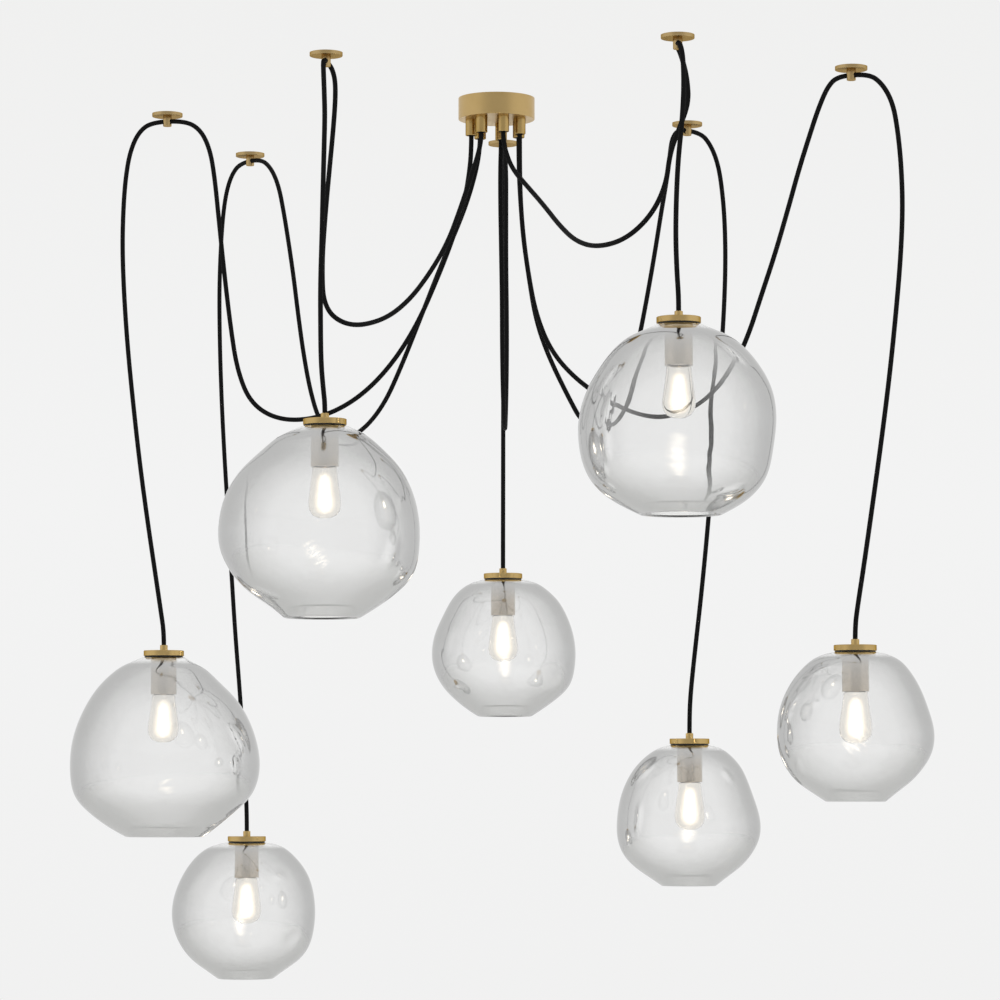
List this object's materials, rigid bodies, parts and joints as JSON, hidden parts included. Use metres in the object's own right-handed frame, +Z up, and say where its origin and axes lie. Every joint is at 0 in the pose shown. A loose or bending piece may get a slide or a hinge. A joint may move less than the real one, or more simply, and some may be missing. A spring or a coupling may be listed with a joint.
{
  "type": "cluster pendant light",
  "caption": "Ceiling canopy from which swagged cords run over ceiling hooks, each ending in a hand-blown clear glass globe lamp hung at its own height.",
  "frame": {"origin": "middle of the canopy's open top, on the ceiling plane", "axes": "+Z up into the ceiling, +X to the right and -Y towards the viewer of the picture"},
  "size_m": [1.1415, 1.1171, 1.2042],
  "materials": {
    "satin_brass": "satin, fine turning marks",
    "zinc_steel": "zinc plated",
    "black_plastic": "matte",
    "block_ceramic": "unglazed",
    "cord_sheath": "matte",
    "black_braid": "woven textile sleeve",
    "black_rubber": "matte",
    "clear_glass": "hand-blown, clear, uneven",
    "lamp_glass": "clear envelope, warm white glow"
  },
  "bodies": {
    "ceiling_set": {"canopy_cover": "satin_brass", "mounting_bar": "zinc_steel", "canopy_grub_screws": "zinc_steel", "cord_grips": "satin_brass", "grip_bushes": "black_plastic", "grip_locknuts": "zinc_steel", "terminal_block": "block_ceramic", "lead_wires": "cord_sheath", "ground_screw": "zinc_steel", "hook_plates": "satin_brass", "hook_stems": "satin_brass", "swag_cord_1": "black_braid", "swag_cord_2": "black_braid", "swag_cord_3": "black_braid", "swag_cord_4": "black_braid", "swag_cord_5": "black_braid", "swag_cord_6": "black_braid", "swag_cord_7": "black_braid"},
    "pendant_1": {"drop_cord_1": "black_braid", "shade_cap_1": "satin_brass", "cap_gasket_1": "black_rubber", "glass_shade_1": "clear_glass", "lampholder_1": "satin_brass"},
    "lamp_1": {"bulb_1": "lamp_glass"},
    "pendant_2": {"drop_cord_2": "black_braid", "shade_cap_2": "satin_brass", "cap_gasket_2": "black_rubber", "glass_shade_2": "clear_glass", "lampholder_2": "satin_brass"},
    "lamp_2": {"bulb_2": "lamp_glass"},
    "pendant_3": {"drop_cord_3": "black_braid", "shade_cap_3": "satin_brass", "cap_gasket_3": "black_rubber", "glass_shade_3": "clear_glass", "lampholder_3": "satin_brass"},
    "lamp_3": {"bulb_3": "lamp_glass"},
    "pendant_4": {"drop_cord_4": "black_braid", "shade_cap_4": "satin_brass", "cap_gasket_4": "black_rubber", "glass_shade_4": "clear_glass", "lampholder_4": "satin_brass"},
    "lamp_4": {"bulb_4": "lamp_glass"},
    "pendant_5": {"drop_cord_5": "black_braid", "shade_cap_5": "satin_brass", "cap_gasket_5": "black_rubber", "glass_shade_5": "clear_glass", "lampholder_5": "satin_brass"},
    "lamp_5": {"bulb_5": "lamp_glass"},
    "pendant_6": {"drop_cord_6": "black_braid", "shade_cap_6": "satin_brass", "cap_gasket_6": "black_rubber", "glass_shade_6": "clear_glass", "lampholder_6": "satin_brass"},
    "lamp_6": {"bulb_6": "lamp_glass"},
    "pendant_7": {"drop_cord_7": "black_braid", "shade_cap_7": "satin_brass", "cap_gasket_7": "black_rubber", "glass_shade_7": "clear_glass", "lampholder_7": "satin_brass"},
    "lamp_7": {"bulb_7": "lamp_glass"}
  },
  "joints": [
    {"name": "pendant_1_swing", "type": "hinge", "parent": "ceiling_set", "child": "pendant_1", "pos_m": [-0.455, 0.116, -0.0112], "axis": [-0.9632, 0.2686, 0], "range_deg": [-10, 10]},
    {"name": "bulb_1_unscrew", "type": "slide", "parent": "pendant_1", "child": "lamp_1", "axis": [0, 0, -1], "range_m": [0, 0.026]},
    {"name": "pendant_2_swing", "type": "hinge", "parent": "ceiling_set", "child": "pendant_2", "pos_m": [-0.216, -0.325, -0.0112], "axis": [-0.173, -0.9849, 0], "range_deg": [-10, 10]},
    {"name": "bulb_2_unscrew", "type": "slide", "parent": "pendant_2", "child": "lamp_2", "axis": [0, 0, -1], "range_m": [0, 0.026]},
    {"name": "pendant_3_swing", "type": "hinge", "parent": "ceiling_set", "child": "pendant_3", "pos_m": [0.225, -0.44, -0.0112], "axis": [0.0863, -0.9963, 0], "range_deg": [-10, 10]},
    {"name": "bulb_3_unscrew", "type": "slide", "parent": "pendant_3", "child": "lamp_3", "axis": [0, 0, -1], "range_m": [0, 0.026]},
    {"name": "pendant_4_swing", "type": "hinge", "parent": "ceiling_set", "child": "pendant_4", "pos_m": [0.009, 0.35, -0.0112], "axis": [0.0089, 1, 0], "range_deg": [-10, 10]},
    {"name": "bulb_4_unscrew", "type": "slide", "parent": "pendant_4", "child": "lamp_4", "axis": [0, 0, -1], "range_m": [0, 0.026]},
    {"name": "pendant_5_swing", "type": "hinge", "parent": "ceiling_set", "child": "pendant_5", "pos_m": [0.267, 0.19, -0.0112], "axis": [0.8061, 0.5918, 0], "range_deg": [-10, 10]},
    {"name": "bulb_5_unscrew", "type": "slide", "parent": "pendant_5", "child": "lamp_5", "axis": [0, 0, -1], "range_m": [0, 0.026]},
    {"name": "pendant_6_swing", "type": "hinge", "parent": "ceiling_set", "child": "pendant_6", "pos_m": [0.459, -0.23, -0.0112], "axis": [0.8922, -0.4516, 0], "range_deg": [-10, 10]},
    {"name": "bulb_6_unscrew", "type": "slide", "parent": "pendant_6", "child": "lamp_6", "axis": [0, 0, -1], "range_m": [0, 0.026]},
    {"name": "pendant_7_swing", "type": "hinge", "parent": "ceiling_set", "child": "pendant_7", "pos_m": [-0.362, 0.451, -0.0112], "axis": [-0.6241, 0.7813, 0], "range_deg": [-10, 10]},
    {"name": "bulb_7_unscrew", "type": "slide", "parent": "pendant_7", "child": "lamp_7", "axis": [0, 0, -1], "range_m": [0, 0.026]}
  ]
}
